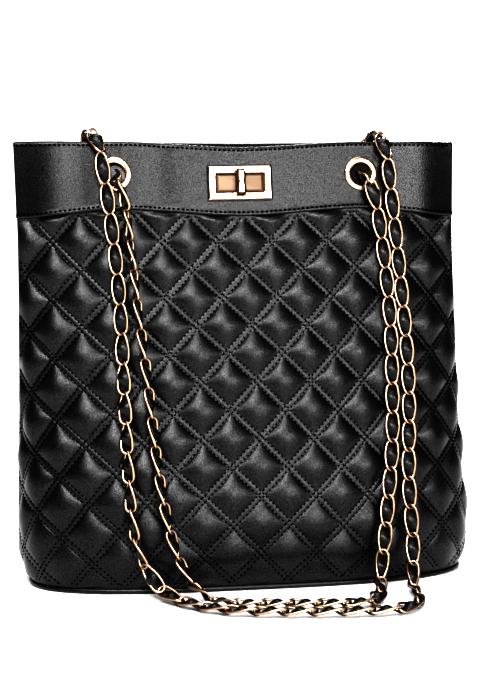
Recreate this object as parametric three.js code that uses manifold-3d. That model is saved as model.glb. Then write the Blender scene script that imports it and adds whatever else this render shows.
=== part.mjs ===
// A quilted shopper bag with a plain top band, a turn lock, four eyelets and one long chain strap.
// Millimetres, +Z up. The origin is the centre of the base on the floor; the front faces -Y.
import * as THREE from "three";
import { mergeVertices } from "three/addons/utils/BufferGeometryUtils.js";
import Module from "manifold-3d";

const wasm = await Module();
wasm.setup();

// ---------- driving dimensions ----------
const HEM_Z = 264; // lower edge of the band, over the eyelets
const RIM_Z = 311.5; // top of the bag, over the eyelets
// Outer shape by height: z, half width, half depth, exponent across the width, exponent across the depth.
const PROFILE = [
  [0, 157.5, 57, 3.0, 2.8],
  [26, 164.5, 61, 3.0, 2.8],
  [140, 160.5, 42.5, 2.7, 2.2],
  [HEM_Z, 157.5, 17, 2.2, 1.4],
  [RIM_Z, 158, 10.5, 2.0, 1.0],
];
const SAG_START_Z = 180; // the panels hang straight below this height
const HEM_SAG = 5; // the hem drops this far in the middle of the bag
const HEM_DROP = 6; // and this far at the side seams
const FRONT_RIM_SAG = 4;
const BACK_RIM_SAG = 0.5;
const LEAN = 4; // the soft bag leans this far to -X at the rim
const WIDEST_Z = 26;
const SEAM_PLY = 1.5; // half thickness of the pinched side seam
const SEAM_GAP = 0.15; // each half stops this far from the plane between front and back
const GAP = 0.3; // clearance between touching pieces

const QUILT = 3; // thickness of the quilted panels
const TUCK = 2; // the quilt is pressed in this far under the band's hem
const TUCK_HEIGHT = 8;
const BAND = 1.5; // thickness of the band's leather
const FACING_OUT = 3.1; // depth of the facing's hidden side under the outer surface
const FACING_IN = 4.1;
const FACING_END = 0.6; // the facings stop at this angle, short of the pinched side seams
const LINING_OUT = 6.2;
const LINING_IN = 7.2;
const BASE_SHEET = 2;
const PIPING_R = 1.6;
const BOARD = 2.5;

const EYELET_LEFT_X = -89;
const EYELET_RIGHT_X = 87;
const EYELET_Z = 288.5;
const EYELET = { hole: 7.6, barrel: 8.2, flange: 12, cut: 8.5 };
const LOCK_X = -1;
const LOCK_Z = 286.5;
const STRAP_R = 3.8;
const STRAP_SIDES = 8;
const STRAP_GAP = 0.6; // the two lengths stop this far from the middle plane
const HALF_STEPS = 20; // facets round each half of the bag

// ---------- colours ----------
const finish = {
  leather: { color: 0x17171a, roughness: 0.42, metalness: 0 },
  lining: { color: 0x1d1b1c, roughness: 0.85, metalness: 0 },
  board: { color: 0x6b5a45, roughness: 0.9, metalness: 0 },
  gold: { color: 0xe9c6a4, roughness: 0.2, metalness: 1 },
  steel: { color: 0xb9bbbe, roughness: 0.35, metalness: 1 },
};

const bag = new THREE.Group();

function addMesh(name, geometry, look, parent = bag) {
  const mesh = new THREE.Mesh(geometry, new THREE.MeshStandardMaterial(finish[look]));
  mesh.name = name;
  parent.add(mesh);
  return mesh;
}

// ---------- closed meshes from grids of points ----------
function geometryOf(points, triangles) {
  let volume = 0;
  for (const [a, b, c] of triangles) {
    volume += points[a].dot(new THREE.Vector3().crossVectors(points[b], points[c]));
  }
  const faces = volume < 0 ? triangles.map(([a, b, c]) => [a, c, b]) : triangles;
  const geometry = new THREE.BufferGeometry().setFromPoints(points);
  geometry.setIndex(faces.flat());
  return geometry;
}

// A slab between two grids with the same rows and columns: a sheet with thickness.
function slab(outer, inner) {
  const rows = outer.length;
  const columns = outer[0].length;
  const points = [...outer.flat(), ...inner.flat()];
  const back = rows * columns;
  const at = (i, j) => i * columns + j;
  const triangles = [];
  const quad = (a, b, c, d) => triangles.push([a, b, c], [a, c, d]);
  for (let i = 0; i < rows - 1; i += 1) {
    for (let j = 0; j < columns - 1; j += 1) {
      quad(at(i, j), at(i, j + 1), at(i + 1, j + 1), at(i + 1, j));
      quad(back + at(i, j), back + at(i + 1, j), back + at(i + 1, j + 1), back + at(i, j + 1));
    }
    quad(at(i, 0), at(i + 1, 0), back + at(i + 1, 0), back + at(i, 0));
    const last = columns - 1;
    quad(at(i + 1, last), at(i, last), back + at(i, last), back + at(i + 1, last));
  }
  for (let j = 0; j < columns - 1; j += 1) {
    quad(at(0, j + 1), at(0, j), back + at(0, j), back + at(0, j + 1));
    const top = rows - 1;
    quad(at(top, j), at(top, j + 1), back + at(top, j + 1), back + at(top, j));
  }
  return geometryOf(points, triangles);
}

// A solid skinned over closed rings, either capped at both ends or joined end to end.
function skin(rings, joined = false) {
  const count = rings[0].length;
  const points = rings.flat();
  const triangles = [];
  const spans = joined ? rings.length : rings.length - 1;
  for (let i = 0; i < spans; i += 1) {
    const here = i * count;
    const next = ((i + 1) % rings.length) * count;
    for (let j = 0; j < count; j += 1) {
      const k = (j + 1) % count;
      triangles.push([here + j, here + k, next + k], [here + j, next + k, next + j]);
    }
  }
  if (!joined) {
    for (const [start, flip] of [[0, true], [(rings.length - 1) * count, false]]) {
      const centre = new THREE.Vector3();
      for (let j = 0; j < count; j += 1) centre.addScaledVector(points[start + j], 1 / count);
      const middle = points.push(centre) - 1;
      for (let j = 0; j < count; j += 1) {
        const k = start + ((j + 1) % count);
        triangles.push(flip ? [middle, k, start + j] : [middle, start + j, k]);
      }
    }
  }
  return geometryOf(points, triangles);
}

// ---------- joins and cuts ----------
function solidOf(geometry) {
  const plain = geometry.clone();
  plain.deleteAttribute("normal");
  plain.deleteAttribute("uv");
  const merged = mergeVertices(plain, 1e-3);
  return new wasm.Manifold(
    new wasm.Mesh({
      numProp: 3,
      vertProperties: merged.attributes.position.array,
      triVerts: new Uint32Array(merged.index.array),
    }),
  );
}

function geometryFrom(solid) {
  const made = solid.getMesh();
  const geometry = new THREE.BufferGeometry();
  geometry.setAttribute("position", new THREE.BufferAttribute(made.vertProperties, 3));
  geometry.setIndex(new THREE.BufferAttribute(made.triVerts, 1));
  return geometry;
}

function cut(geometry, ...tools) {
  return geometryFrom(tools.reduce((left, tool) => left.subtract(solidOf(tool)), solidOf(geometry)));
}

function join(...parts) {
  const [first, ...rest] = parts.map(solidOf);
  return geometryFrom(rest.reduce((left, part) => left.add(part), first));
}

function boxAt(width, height, depth, x, y, z) {
  return new THREE.BoxGeometry(width, height, depth).translate(x, y, z);
}

// A cylinder along local Z from z0 to z1.
function rod(radius, z0, z1, sides = 24, x = 0, y = 0) {
  const cylinder = new THREE.CylinderGeometry(radius, radius, z1 - z0, sides);
  return cylinder.rotateX(Math.PI / 2).translate(x, y, (z0 + z1) / 2);
}

// A ring about local Z from a closed profile of [radius, z] points.
function ring(profile, sides = 20) {
  const closed = [...profile, profile[0]].map(([r, z]) => new THREE.Vector2(r, z));
  return new THREE.LatheGeometry(closed, sides).rotateX(Math.PI / 2);
}

// ---------- the bag's outer surface ----------
const clamp = THREE.MathUtils.clamp;

function smooth(t) {
  const c = clamp(t, 0, 1);
  return c * c * (3 - 2 * c);
}

function profileSlope(i, k) {
  const step = (j) => (PROFILE[j + 1][k] - PROFILE[j][k]) / (PROFILE[j + 1][0] - PROFILE[j][0]);
  if (i === 0) return step(0);
  if (i === PROFILE.length - 1) return step(i - 1);
  const before = step(i - 1);
  const after = step(i);
  return before * after <= 0 ? 0 : (2 * before * after) / (before + after);
}

// Half width, half depth and the two exponents at a height, on a smooth curve through PROFILE.
function profileAt(z) {
  let i = 0;
  while (i < PROFILE.length - 2 && z > PROFILE[i + 1][0]) i += 1;
  const height = PROFILE[i + 1][0] - PROFILE[i][0];
  const t = clamp((z - PROFILE[i][0]) / height, 0, 1);
  return [1, 2, 3, 4].map((k) => {
    const start = PROFILE[i][k] * (2 * t ** 3 - 3 * t ** 2 + 1);
    const end = PROFILE[i + 1][k] * (3 * t ** 2 - 2 * t ** 3);
    const leave = profileSlope(i, k) * height * (t ** 3 - 2 * t ** 2 + t);
    const arrive = profileSlope(i + 1, k) * height * (t ** 3 - t ** 2);
    return start + end + leave + arrive;
  });
}

// Zero over the eyelets, -middle in the middle of the bag and -end at the side seams.
function wave(u, middle, end) {
  const eyelet = EYELET_RIGHT_X / PROFILE[4][1];
  const v = Math.abs(u);
  if (v < eyelet) return -middle * smooth(1 - v / eyelet);
  return -end * smooth((v - eyelet) / (1 - eyelet));
}

// The real height of a level z at the place u across the bag, from -1 to 1.
function liftedZ(z, u, side) {
  const hem = wave(u, HEM_SAG, HEM_DROP);
  if (z <= HEM_Z) return z + smooth((z - SAG_START_Z) / (HEM_Z - SAG_START_Z)) * hem;
  const t = (z - HEM_Z) / (RIM_Z - HEM_Z);
  return z + (1 - t) * hem + t * wave(u, side < 0 ? FRONT_RIM_SAG : BACK_RIM_SAG, 0);
}

// The section at a level: angle 0 is the right seam, half a turn is the left seam.
function sectionAt(angle, z) {
  const [halfWidth, halfDepth, p, q] = profileAt(z);
  const c = Math.cos(angle);
  const u = Math.sign(c) * Math.abs(c) ** (2 / p);
  const reach = Math.abs(Math.sin(angle)) ** (2 / q);
  return { u, x: halfWidth * u, y: SEAM_PLY + (halfDepth - SEAM_PLY) * reach };
}

// A point of the bag, offset outwards along the section's normal; side is -1 for the front and 1 for the back.
function bagPoint(angle, z, offset = 0, side = -1) {
  const { u, x, y } = sectionAt(angle, z);
  const before = sectionAt(Math.max(0, angle - 0.02), z);
  const after = sectionAt(Math.min(Math.PI, angle + 0.02), z);
  const normal = new THREE.Vector2(after.y - before.y, before.x - after.x).normalize();
  const lean = (-LEAN * (z - WIDEST_Z)) / (RIM_Z - WIDEST_Z);
  return new THREE.Vector3(
    x + normal.x * offset + lean,
    side * (y + normal.y * offset),
    liftedZ(z, u, side),
  );
}

function angles(from, to, steps) {
  return Array.from({ length: steps + 1 }, (_, i) => from + ((to - from) * i) / steps);
}

const halfTurn = angles(0, Math.PI, HALF_STEPS);

// One level of a half shell: the outer row runs seam to seam with a closing point at each seam.
function outerRow({ z, outer }, side) {
  const row = halfTurn.map((angle) => bagPoint(angle, z, outer, side));
  const close = (point) => new THREE.Vector3(point.x, side * SEAM_GAP, point.z);
  return [close(row[0]), ...row, close(row[row.length - 1])];
}

// The inner row stops at the plane between the halves, where the plies lie flat on each other.
function innerRow({ z, inner }, side) {
  const row = halfTurn.map((angle) => bagPoint(angle, z, inner, side));
  for (const point of row) point.y = side * Math.max(side * point.y, SEAM_GAP);
  for (const [point, way] of [[row[0], -1], [row[row.length - 1], 1]]) {
    if (Math.abs(point.y) < SEAM_PLY) point.x += way * 0.8;
  }
  const close = (point, way) => {
    const flat = Math.abs(point.y) < SEAM_GAP + 0.2;
    return new THREE.Vector3(point.x - way * (flat ? 0.4 : 0), side * SEAM_GAP, point.z);
  };
  return [close(row[0], -1), ...row, close(row[row.length - 1], 1)];
}

function halfShell(levels, side) {
  return slab(
    levels.map((level) => outerRow(level, side)),
    levels.map((level) => innerRow(level, side)),
  );
}

function fullRing(z, offset, atHeight = null) {
  const front = halfTurn.map((angle) => bagPoint(angle, z, offset, -1));
  const back = halfTurn.map((angle) => bagPoint(angle, z, offset, 1)).reverse();
  const whole = [...front, ...back];
  if (atHeight !== null) for (const point of whole) point.z = atHeight;
  return whole;
}

// A group on the outer surface at a place across the bag and a level: local Z is the outward normal,
// local Y runs up the wall. With inwards true, local Z points into the bag.
function groupOn(x, z, side, inwards = false) {
  const angle = Math.acos(Math.sign(x) * Math.abs(x / profileAt(z)[0]) ** (profileAt(z)[2] / 2));
  const place = bagPoint(angle, z, 0, side);
  const across = bagPoint(angle - 0.05, z, 0, side).sub(bagPoint(angle + 0.05, z, 0, side));
  const up = bagPoint(angle, z + 3, 0, side).sub(bagPoint(angle, z - 3, 0, side));
  const normal = new THREE.Vector3().crossVectors(across, up).normalize();
  if (normal.y * side < 0) normal.negate();
  const zAxis = inwards ? normal.clone().negate() : normal;
  const yAxis = up.clone().addScaledVector(zAxis, -up.dot(zAxis)).normalize();
  const xAxis = new THREE.Vector3().crossVectors(yAxis, zAxis);
  const group = new THREE.Group();
  group.position.copy(place);
  group.quaternion.setFromRotationMatrix(new THREE.Matrix4().makeBasis(xAxis, yAxis, zAxis));
  group.updateMatrix();
  bag.add(group);
  return group;
}

// ---------- quilted body ----------
const PANEL_FOOT = 3.9;
const NOTCH_X = 146;
const NOTCH_Z = HEM_Z - HEM_DROP - GAP;
const NOTCH_LEAN = (-LEAN * (NOTCH_Z - WIDEST_Z)) / (RIM_Z - WIDEST_Z);
const panelLevels = [
  ...[PANEL_FOOT, 12, 26, 60, 100, 140, 180, 220, 245].map((z) => ({ z, outer: 0, inner: -QUILT })),
  { z: HEM_Z - 4, outer: 0, inner: -QUILT - 0.4 },
  { z: HEM_Z - 0.6, outer: -TUCK, inner: -QUILT - 0.4 },
  { z: HEM_Z + TUCK_HEIGHT, outer: -TUCK, inner: -QUILT - 0.4 },
];

// The tucked edge stops short of the side seams, where the band's plies lie flat on each other.
const seamNotches = [-1, 1].map((way) => boxAt(20, 40, 20, way * (NOTCH_X + 10) + NOTCH_LEAN, 0, NOTCH_Z + 10));
addMesh("front_panel", cut(halfShell(panelLevels, -1), ...seamNotches), "leather");
addMesh("back_panel", cut(halfShell(panelLevels, 1), ...seamNotches), "leather");

const sheetEdge = -2 * PIPING_R - 0.5;
addMesh("base_panel", skin([fullRing(0, sheetEdge, 0), fullRing(0, sheetEdge, BASE_SHEET)]), "leather");

function piping() {
  const centre = fullRing(2, -PIPING_R, PIPING_R + 0.4);
  const out = fullRing(2, -PIPING_R + 1, PIPING_R + 0.4);
  const rings = centre.map((point, i) => {
    const away = out[i].clone().sub(point).normalize();
    return angles(0, 2 * Math.PI, 6).slice(0, 6).map((turn) =>
      point.clone()
        .addScaledVector(away, PIPING_R * Math.cos(turn))
        .add(new THREE.Vector3(0, 0, PIPING_R * Math.sin(turn))),
    );
  });
  return skin(rings, true);
}
addMesh("base_piping", piping(), "leather");

const boardFoot = BASE_SHEET + GAP;
const boardEdge = -2 * PIPING_R - 0.8;
const boardRings = [boardFoot, boardFoot + BOARD].map((z) => fullRing(0, boardEdge, z));
addMesh("base_board", skin(boardRings), "board");

// ---------- band, facing and lining ----------
const bandLevels = angles(HEM_Z, RIM_Z, 3).map((z) => ({ z, outer: 0, inner: -BAND }));
const facingFoot = HEM_Z + TUCK_HEIGHT + 0.4;
const facingAngles = angles(FACING_END, Math.PI - FACING_END, 16);

function facing(side) {
  const rows = (offset) =>
    angles(facingFoot, RIM_Z, 3).map((z) => facingAngles.map((a) => bagPoint(a, z, -offset, side)));
  return slab(rows(FACING_OUT), rows(FACING_IN));
}

// Holes through the wall at every eyelet of one side.
function eyeletCutters(side) {
  return [EYELET_LEFT_X, EYELET_RIGHT_X].map((x) => {
    const group = groupOn(x, EYELET_Z, side);
    return rod(EYELET.cut, -9, 4, 24).applyMatrix4(group.matrix);
  });
}

const lockGroup = groupOn(LOCK_X, LOCK_Z, -1);
const PRONG = { x: 15, y: 7.6, width: 3, thick: 0.8 };
const prongPlaces = [[-1, -1], [1, -1], [-1, 1], [1, 1]].map(([i, j]) => [i * PRONG.x, j * PRONG.y]);

function prongs(grow, z0, z1) {
  const size = (value) => value + 2 * grow;
  return prongPlaces.map(([x, y]) =>
    boxAt(size(PRONG.width), size(PRONG.thick), z1 - z0, x, y, (z0 + z1) / 2),
  );
}

const lockSlits = prongs(GAP, -2.2, 1).map((slit) => slit.applyMatrix4(lockGroup.matrix));
addMesh("front_band", cut(halfShell(bandLevels, -1), ...eyeletCutters(-1), ...lockSlits), "leather");
addMesh("back_band", cut(halfShell(bandLevels, 1), ...eyeletCutters(1)), "leather");
addMesh("front_facing", cut(facing(-1), ...eyeletCutters(-1)), "leather");
addMesh("back_facing", cut(facing(1), ...eyeletCutters(1)), "leather");

// The lining is a cup: each ring is a section pulled in from the outer surface and from the side seams.
const LINING_FLOOR = boardFoot + BOARD + GAP;
const LINING_TOP = HEM_Z + 6;

function liningRing(z, depth, atHeight = null) {
  const [halfWidth, halfDepth, p, q] = profileAt(z);
  const narrow = 12 * smooth((z - 100) / 140);
  const lean = (-LEAN * (z - WIDEST_Z)) / (RIM_Z - WIDEST_Z);
  const whole = fullRing(z, -depth, atHeight);
  for (const point of whole) {
    point.x = lean + (point.x - lean) * (1 - narrow / (halfWidth - depth));
    const reach = (1 - Math.abs((point.x - lean) / halfWidth) ** p) ** (1 / q);
    const room = SEAM_PLY + (halfDepth - SEAM_PLY) * reach - depth - 0.3;
    const least = depth > LINING_OUT ? 0.4 : 1.4;
    point.y = Math.sign(point.y) * Math.max(Math.min(Math.abs(point.y), room), least);
  }
  return whole;
}

function lining() {
  const heights = [12, 26, 60, 100, 140, 180, 215, 245, LINING_TOP];
  const outside = [liningRing(6, LINING_OUT, LINING_FLOOR), ...heights.map((z) => liningRing(z, LINING_OUT))];
  const inside = [liningRing(7, LINING_IN, LINING_FLOOR + 1), ...heights.map((z) => liningRing(z, LINING_IN))];
  return skin([...outside, ...inside.reverse()]);
}

// ---------- zip pocket in the back lining ----------
const ZIP_Z = 215;
const ZIP = { length: 120, tape: 11, slot: 2.3, tooth: 1.9, lift: 2.8 };
const zipGroup = groupOn(0, ZIP_Z, 1, true);
const zipFace = LINING_IN + ZIP.lift; // local z of the tapes' hidden face
const slotTool = boxAt(ZIP.length, 8, 8, 0, 0, LINING_IN).applyMatrix4(zipGroup.matrix);
addMesh("lining", cut(lining(), slotTool), "lining");

for (const [name, way] of [["zip_tape_upper", 1], ["zip_tape_lower", -1]]) {
  const y = way * (ZIP.slot + ZIP.tape / 2);
  addMesh(name, boxAt(ZIP.length + 16, ZIP.tape, 0.8, 0, y, zipFace + 0.4), "lining", zipGroup);
}
const teeth = boxAt(ZIP.length, 2 * ZIP.tooth, 1.6, 0, 0, zipFace + 0.4);
addMesh("zip_teeth", teeth, "gold", zipGroup);
for (const [name, way] of [["zip_stop_left", -1], ["zip_stop_right", 1]]) {
  const x = way * (ZIP.length / 2 + GAP + 1.5);
  addMesh(name, boxAt(3, 2 * ZIP.tooth, 2.4, x, 0, zipFace + 0.4), "gold", zipGroup);
}

// The slider's cap rides over the teeth at the right end; two cheeks hold the bar that the pull hangs on.
const SLIDER = { x: ZIP.length / 2 - 6, length: 11, width: 8, cap: 1.4, bar: 0.8, reach: 2.9 };
const capFoot = zipFace + 0.4 + 0.8 + GAP;
const capTop = capFoot + SLIDER.cap;
const barZ = capTop + SLIDER.reach;
function slider() {
  const cap = boxAt(SLIDER.length, SLIDER.width, SLIDER.cap, 0, 0, capFoot + SLIDER.cap / 2);
  const cheek = (x) => boxAt(1.2, 2.6, SLIDER.reach + 1.4, x, 0, capTop - 0.2 + (SLIDER.reach + 1.4) / 2);
  const bar = new THREE.CylinderGeometry(SLIDER.bar, SLIDER.bar, 7, 12).rotateZ(Math.PI / 2);
  return join(cap, cheek(-3.2), cheek(3.2), bar.translate(0, 0, barZ));
}
addMesh("zip_slider", slider(), "gold", zipGroup).position.x = SLIDER.x;

const pullPivot = new THREE.Vector3(SLIDER.x, 0, barZ).applyMatrix4(zipGroup.matrix);
function pull() {
  const eye = ring([[1.1, -2.1], [2.1, -2.1], [2.1, 2.1], [1.1, 2.1]], 16).rotateY(Math.PI / 2);
  const tab = boxAt(4.2, 1.2, 18, 0, 0, -10.6);
  const grip = new THREE.CylinderGeometry(4, 4, 1.2, 24).translate(0, 0, -19);
  return join(eye, tab, grip);
}
addMesh("zip_pull", pull(), "gold").position.copy(pullPivot);

// Two plies of pocket cloth lying flat between the lining and the back panel.
const pocketAngles = angles(1.05, Math.PI - 1.05, 10);
const pocketLevels = [120, 150, 180, ZIP_Z + 8];
const pocketRows = (offset) => pocketLevels.map((z) => pocketAngles.map((a) => bagPoint(a, z, offset, 1)));
addMesh("zip_pocket_bag", slab(pocketRows(-QUILT - 1), pocketRows(-QUILT - 2.2)), "lining");

// ---------- eyelets ----------
const eyeletProfile = [
  [EYELET.hole, -5.3], [EYELET.barrel, -5.3], [EYELET.barrel, GAP], [EYELET.flange, GAP],
  [EYELET.flange, 0.8], [11, 1.5], [9, 1.6], [EYELET.hole, 0.8],
];
const washerProfile = [[EYELET.cut, -5.2], [11.5, -5.2], [11.5, -4.5], [EYELET.cut, -4.5]];
for (const [place, side] of [["front", -1], ["back", 1]]) {
  for (const [hand, x] of [["left", EYELET_LEFT_X], ["right", EYELET_RIGHT_X]]) {
    const group = groupOn(x, EYELET_Z, side);
    addMesh(`eyelet_${place}_${hand}`, ring(eyeletProfile), "gold", group);
    addMesh(`eyelet_washer_${place}_${hand}`, ring(washerProfile, 16), "steel", group);
  }
}

// ---------- turn lock ----------
const PLATE = { width: 45, height: 25, thick: 2.4, bevel: 0.9, windowWidth: 34, windowHeight: 13 };

function bevelledPlate(width, height, z0, z1, bevel) {
  const flat = (w, h, z) => [[-w, -h], [w, -h], [w, h], [-w, h]].map(([x, y]) => new THREE.Vector3(x / 2, y / 2, z));
  const inset = 2 * bevel;
  return skin([flat(width, height, z0), flat(width, height, z1 - bevel), flat(width - inset, height - inset, z1)]);
}

const plate = bevelledPlate(PLATE.width, PLATE.height, GAP, PLATE.thick, PLATE.bevel);
const windowTool = boxAt(PLATE.windowWidth, PLATE.windowHeight, 8, 0, 0, 1);
const lockFrame = join(cut(plate, windowTool), ...prongs(0, -2.7, 1));
addMesh("lock_frame", lockFrame, "gold", lockGroup);

const SPINDLE = { shaft: 2, hole: 2.3, recess: 4.2, recessTop: 1.5 };
const blockSize = [PLATE.windowWidth - 2 * GAP, PLATE.windowHeight - 2 * GAP];
const blockTop = 2;
const block = cut(
  bevelledPlate(blockSize[0], blockSize[1], GAP, blockTop, 0.8),
  rod(SPINDLE.hole, -1, 4),
  rod(SPINDLE.recess, -1, SPINDLE.recessTop - 0.4),
);
addMesh("lock_block", block, "gold", lockGroup);

const clipProfile = [[SPINDLE.hole, 0.4], [3.8, 0.4], [3.8, 0.8], [SPINDLE.hole, 0.8]];
addMesh("lock_clip", ring(clipProfile, 16), "steel", lockGroup);

const backPlate = boxAt(38, 18, 0.7, 0, 0, -2.2);
addMesh("lock_backing_plate", cut(backPlate, ...prongs(GAP, -4, 0)), "steel", lockGroup);

// The bar stands upright across the window when the lock is shut, with a waist at its middle.
function turnBar() {
  const half = 9.5;
  const waist = 2.2;
  const wide = 3;
  const outline = new THREE.Shape();
  outline.moveTo(-wide, -half);
  outline.lineTo(wide, -half);
  outline.lineTo(wide, -1.6);
  outline.quadraticCurveTo(waist, 0, wide, 1.6);
  outline.lineTo(wide, half);
  outline.lineTo(-wide, half);
  outline.lineTo(-wide, 1.6);
  outline.quadraticCurveTo(-waist, 0, -wide, -1.6);
  outline.closePath();
  const bevel = { bevelEnabled: true, bevelThickness: 1, bevelSize: 0.8, bevelOffset: -0.8, bevelSegments: 2 };
  const bar = new THREE.ExtrudeGeometry(outline, { depth: 3, curveSegments: 4, ...bevel });
  return join(bar.translate(0, 0, PLATE.thick + GAP + 1), rod(SPINDLE.shaft, 0.45, 4.5));
}
addMesh("turn_bar", turnBar(), "gold", lockGroup);

// ---------- magnetic snap inside the mouth ----------
const SNAP_Z = 300;
const snapFace = FACING_IN + GAP;
for (const [place, side] of [["front", -1], ["back", 1]]) {
  const group = groupOn(0, SNAP_Z, side, true);
  const body = rod(6.5, snapFace, snapFace + 2, 24);
  const snap = side < 0 ? cut(body, rod(2.8, snapFace + 0.8, 20, 16)) : join(body, rod(2.3, 5, snapFace + 3, 16));
  addMesh(side < 0 ? "snap_socket" : "snap_stud", snap, "gold", group);
  addMesh(`snap_washer_${place}`, rod(4.4, 1.8, 2.5, 20), "steel", group);
}

// ---------- chain strap ----------
// One chain threaded through the four eyelets. Its route is a list of places, closer together at the bends.
// The front and rear lengths meet inside the mouth, midway between the eyelets.
class Route extends THREE.CatmullRomCurve3 {
  getPointAt(t, target) {
    return this.getPoint(t, target);
  }
  getTangentAt(t, target) {
    return this.getTangent(t, target);
  }
}

function strap(places, inside) {
  const route = new Route(places.map(([x, y, z]) => new THREE.Vector3(x, y || inside, z)));
  const section = new THREE.Shape(
    angles(0, 2 * Math.PI, STRAP_SIDES).slice(0, STRAP_SIDES).map(
      (turn) => new THREE.Vector2(STRAP_R * Math.cos(turn), STRAP_R * Math.sin(turn)),
    ),
  );
  return new THREE.ExtrudeGeometry(section, { steps: places.length - 1, extrudePath: route, bevelEnabled: false });
}

// From inside the front left eyelet, down the front, along the floor and up to the front right eyelet.
const frontRoute = [
  [-92, 0, 288], [-93, -8, 288], [-92, -17, 287], [-88, -21, 277], [-85, -22, 258],
  [-82, -27, 230], [-79, -35, 195], [-75, -43, 158], [-72, -50, 125], [-69, -57, 92],
  [-65, -65, 62], [-59, -69, 36], [-51, -73, 17], [-44, -81, 8], [-35, -92, 5],
  [-20, -102, 5], [10, -107, 5], [38, -112, 5], [60, -113, 5], [72, -107, 5],
  [78, -94, 5], [81, -81, 7], [84, -72, 15], [87, -68, 32], [92, -60, 64],
  [97, -51, 100], [99, -42, 140], [100, -33, 182], [98, -26, 221], [95, -21, 252],
  [92, -20, 270], [88, -20, 282], [84, -14, 287], [83, -7, 288], [83, 0, 288],
];
// From inside the back left eyelet, up and over both rims, then down, along and up in front, and back over.
const rearRoute = [
  [-92, 0, 288], [-93, 10, 288], [-97, 18, 291], [-103, 20, 300], [-109, 16, 310],
  [-111, 8, 315], [-109, -2, 317], [-105, -11, 314], [-103, -15, 306], [-101, -17, 293],
  [-98, -19, 272], [-92, -30, 210], [-90, -46, 136], [-88, -61, 66], [-85, -67, 40],
  [-77, -71, 19], [-66, -79, 7], [-52, -96, 5], [-33, -113, 5], [0, -124, 5],
  [65, -133, 5], [82, -132, 5], [94, -125, 5], [100, -112, 5], [104, -81, 7],
  [107, -71, 17], [108, -65, 38], [107, -59, 70], [111, -41, 146], [108, -25, 224],
  [103, -17, 285], [101, -15, 303], [98, -10, 314], [97, -1, 317], [95, 9, 315],
  [93, 16, 310], [89, 20, 300], [86, 18, 292], [84, 10, 288], [83, 0, 288],
];
addMesh("front_strap", strap(frontRoute, -STRAP_GAP), "gold");
addMesh("rear_strap", strap(rearRoute, STRAP_GAP), "gold");

export default bag;
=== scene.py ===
"""A black quilted shopper with a chain strap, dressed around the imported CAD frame: metres, front -Y."""
import math

import bmesh
import bpy
import numpy as np
from mathutils import Matrix, Vector


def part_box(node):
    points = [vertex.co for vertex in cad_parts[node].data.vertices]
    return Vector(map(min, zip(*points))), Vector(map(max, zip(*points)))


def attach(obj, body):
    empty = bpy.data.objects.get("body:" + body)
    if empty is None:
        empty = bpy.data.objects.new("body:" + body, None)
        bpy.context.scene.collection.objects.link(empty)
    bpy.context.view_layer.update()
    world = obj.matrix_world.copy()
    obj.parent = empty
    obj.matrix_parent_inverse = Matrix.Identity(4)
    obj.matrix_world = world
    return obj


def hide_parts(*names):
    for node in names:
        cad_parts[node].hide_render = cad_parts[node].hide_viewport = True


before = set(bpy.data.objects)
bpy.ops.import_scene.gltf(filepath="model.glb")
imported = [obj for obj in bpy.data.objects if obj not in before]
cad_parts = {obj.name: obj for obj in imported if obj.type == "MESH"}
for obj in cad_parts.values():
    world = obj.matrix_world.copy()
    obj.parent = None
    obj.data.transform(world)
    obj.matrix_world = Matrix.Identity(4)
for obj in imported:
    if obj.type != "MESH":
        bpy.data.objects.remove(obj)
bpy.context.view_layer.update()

MM = 0.001

# ---------- the bag's outer surface, the same sections as the CAD ----------
HEM_SAG = 5 * MM
HEM_DROP = 6 * MM
HEM_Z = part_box("front_band")[0].z + HEM_DROP
RIM_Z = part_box("back_band")[1].z
RIM_HALF_WIDTH = 158 * MM
# Height, half width, half depth, exponent across the width, exponent across the depth.
PROFILE = np.array([
    [0, 157.5 * MM, 57 * MM, 3.0, 2.8],
    [26 * MM, 164.5 * MM, 61 * MM, 3.0, 2.8],
    [140 * MM, 160.5 * MM, 42.5 * MM, 2.7, 2.2],
    [HEM_Z, 157.5 * MM, 17 * MM, 2.2, 1.4],
    [RIM_Z, RIM_HALF_WIDTH, 10.5 * MM, 2.0, 1.0],
])
SAG_START_Z = 180 * MM
FRONT_RIM_SAG = 4 * MM
BACK_RIM_SAG = 0.5 * MM
LEAN = 4 * MM
WIDEST_Z = 26 * MM
SEAM_PLY = 1.5 * MM
SEAM_GAP = 0.15 * MM
EYELET_LEFT_X = -89 * MM
EYELET_RIGHT_X = 87 * MM
EYELET_U = EYELET_RIGHT_X / RIM_HALF_WIDTH
EYELET_Z = 288.5 * MM
LOCK_X = -1 * MM
LOCK_Z = 286.5 * MM
FRONT, BACK = -1, 1

# ---------- small helpers ----------


def smooth(t):
    c = np.clip(t, 0, 1)
    return c * c * (3 - 2 * c)


def mesh_object(name, points, faces, shade_smooth=True):
    mesh = bpy.data.meshes.new(name)
    mesh.from_pydata(np.asarray(points, float).tolist(), [], [list(map(int, face)) for face in faces])
    mesh.polygons.foreach_set("use_smooth", [shade_smooth] * len(mesh.polygons))
    mesh.update()
    made = bpy.data.objects.new(name, mesh)
    bpy.context.scene.collection.objects.link(made)
    return made


def face_outwards(made):
    """Turns a closed mesh's faces to point out of it."""
    work = bmesh.new()
    work.from_mesh(made.data)
    bmesh.ops.recalc_face_normals(work, faces=work.faces)
    work.to_mesh(made.data)
    work.free()
    return made


def grid_quads(rows, columns, closed_rows=False, closed_columns=False):
    """The faces of a grid of points, row by row; closed ways join back on themselves."""
    faces = []
    for i in range(rows if closed_rows else rows - 1):
        for j in range(columns if closed_columns else columns - 1):
            i2, j2 = (i + 1) % rows, (j + 1) % columns
            faces.append((i * columns + j, i * columns + j2, i2 * columns + j2, i2 * columns + j))
    return faces


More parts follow.
